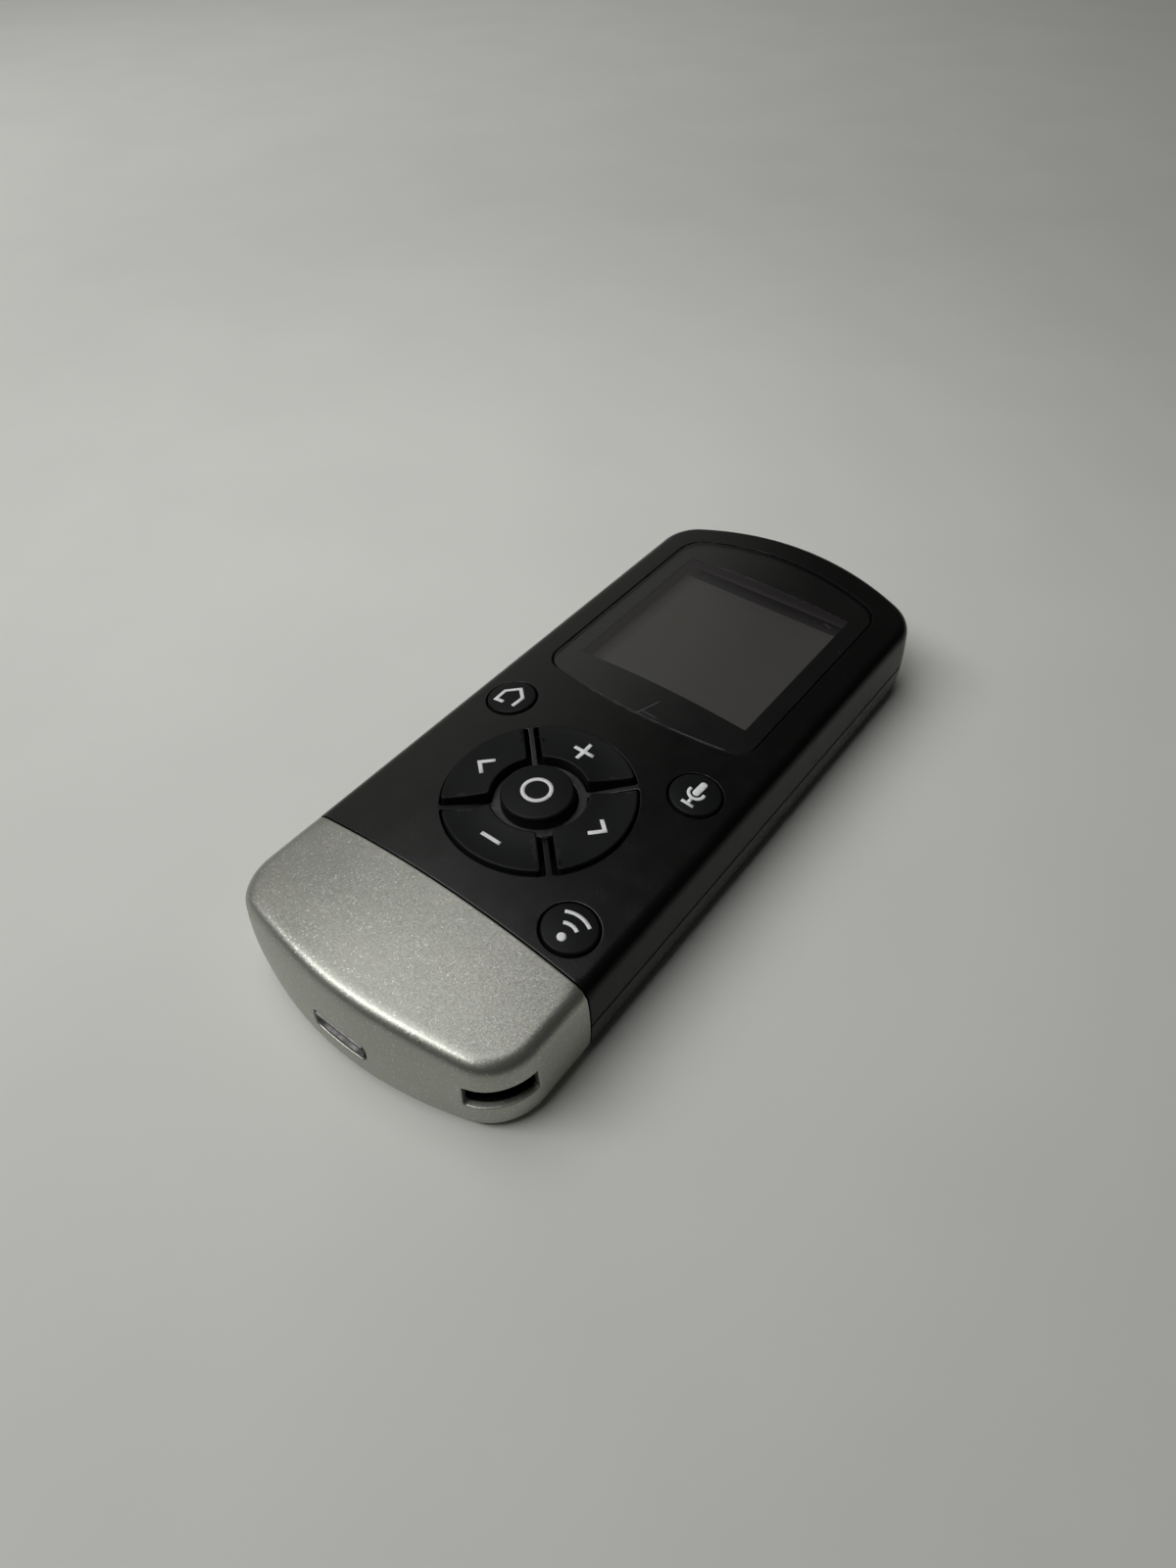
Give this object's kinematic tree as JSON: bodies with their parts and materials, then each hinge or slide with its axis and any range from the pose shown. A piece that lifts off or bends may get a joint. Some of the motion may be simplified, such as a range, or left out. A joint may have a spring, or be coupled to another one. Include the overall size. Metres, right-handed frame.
{
  "type": "handheld remote control",
  "caption": "Slim crowned pocket remote with a small display, a four-way key ring round a raised centre key, round side keys and a metallic end cap with a charging port.",
  "frame": {"origin": "centre of the flat rear face, below the middle of the body's length and width", "axes": "+Z out of the key face, +Y along the body towards the display end, +X to the right seen from the key face"},
  "size_m": [0.0414, 0.0983, 0.0148],
  "materials": {
    "casing_front": "fine matt black moulded plastic",
    "casing_rear": "satin dark grey moulded plastic",
    "cap_silver": "satin silver paint with fine metal flake",
    "steel_pin": "polished steel",
    "window_gloss": "clear acrylic with a black printed border",
    "black_tape": "black foam tape",
    "board_green": "green solder mask",
    "mat_silicone": "matt silicone",
    "lcd_tray": "dark tray",
    "lcd_glass": "dark display glass",
    "light_guide": "white light guide",
    "flex_amber": "amber polyimide",
    "connector_cream": "cream connector plastic",
    "chip_black": "black epoxy",
    "nickel": "nickel plate",
    "antenna_ceramic": "fired ceramic",
    "battery_foil": "laminated foil pouch",
    "pad_foam": "dark foam",
    "lead_red": "red insulation",
    "lead_black": "black insulation",
    "screw_steel": "plated steel",
    "key_rubber": "matt black key with a white symbol",
    "dome_steel": "spring steel"
  },
  "bodies": {
    "casing": {"front_housing": "casing_front", "rear_housing": "casing_rear", "end_cap": "cap_silver", "lanyard_pin": "steel_pin", "display_window": "window_gloss", "window_adhesive": "black_tape", "main_board": "board_green", "keypad_mat": "mat_silicone", "lcd_frame": "lcd_tray", "lcd_panel": "lcd_glass", "lcd_backlight": "light_guide", "lcd_flex": "flex_amber", "lcd_connector": "connector_cream", "processor_chip": "chip_black", "memory_chip": "chip_black", "radio_chip": "chip_black", "charger_chip": "chip_black", "crystal": "nickel", "radio_shield": "nickel", "usb_receptacle": "nickel", "antenna": "antenna_ceramic", "usb_tongue": "chip_black", "battery_cell": "battery_foil", "battery_pad": "pad_foam", "battery_connector": "connector_cream", "battery_lead_plus": "lead_red", "battery_lead_minus": "lead_black", "case_screw_left": "screw_steel", "case_screw_right": "screw_steel", "neck_screw_left": "screw_steel", "neck_screw_right": "screw_steel", "dome_right": "dome_steel", "dome_plus": "dome_steel", "dome_left": "dome_steel", "dome_minus": "dome_steel", "dome_select": "dome_steel", "dome_home": "dome_steel", "dome_microphone": "dome_steel", "dome_streaming": "dome_steel"},
    "press_right": {"key_right": "key_rubber"},
    "press_plus": {"key_plus": "key_rubber"},
    "press_left": {"key_left": "key_rubber"},
    "press_minus": {"key_minus": "key_rubber"},
    "press_select": {"key_select": "key_rubber"},
    "press_home": {"key_home": "key_rubber"},
    "press_microphone": {"key_microphone": "key_rubber"},
    "press_streaming": {"key_streaming": "key_rubber"}
  },
  "joints": [
    {"name": "right_press", "type": "slide", "parent": "casing", "child": "press_right", "axis": [0, 0, -1], "range_m": [0, 0.0004], "stiffness_N_per_m": 300},
    {"name": "plus_press", "type": "slide", "parent": "casing", "child": "press_plus", "axis": [0, 0, -1], "range_m": [0, 0.0004], "stiffness_N_per_m": 300},
    {"name": "left_press", "type": "slide", "parent": "casing", "child": "press_left", "axis": [0, 0, -1], "range_m": [0, 0.0004], "stiffness_N_per_m": 300},
    {"name": "minus_press", "type": "slide", "parent": "casing", "child": "press_minus", "axis": [0, 0, -1], "range_m": [0, 0.0004], "stiffness_N_per_m": 300},
    {"name": "select_press", "type": "slide", "parent": "casing", "child": "press_select", "axis": [0, 0, -1], "range_m": [0, 0.0004], "stiffness_N_per_m": 300},
    {"name": "home_press", "type": "slide", "parent": "casing", "child": "press_home", "axis": [0, 0, -1], "range_m": [0, 0.0004], "stiffness_N_per_m": 300},
    {"name": "microphone_press", "type": "slide", "parent": "casing", "child": "press_microphone", "axis": [0, 0, -1], "range_m": [0, 0.0004], "stiffness_N_per_m": 300},
    {"name": "streaming_press", "type": "slide", "parent": "casing", "child": "press_streaming", "axis": [0, 0, -1], "range_m": [0, 0.0004], "stiffness_N_per_m": 300}
  ]
}
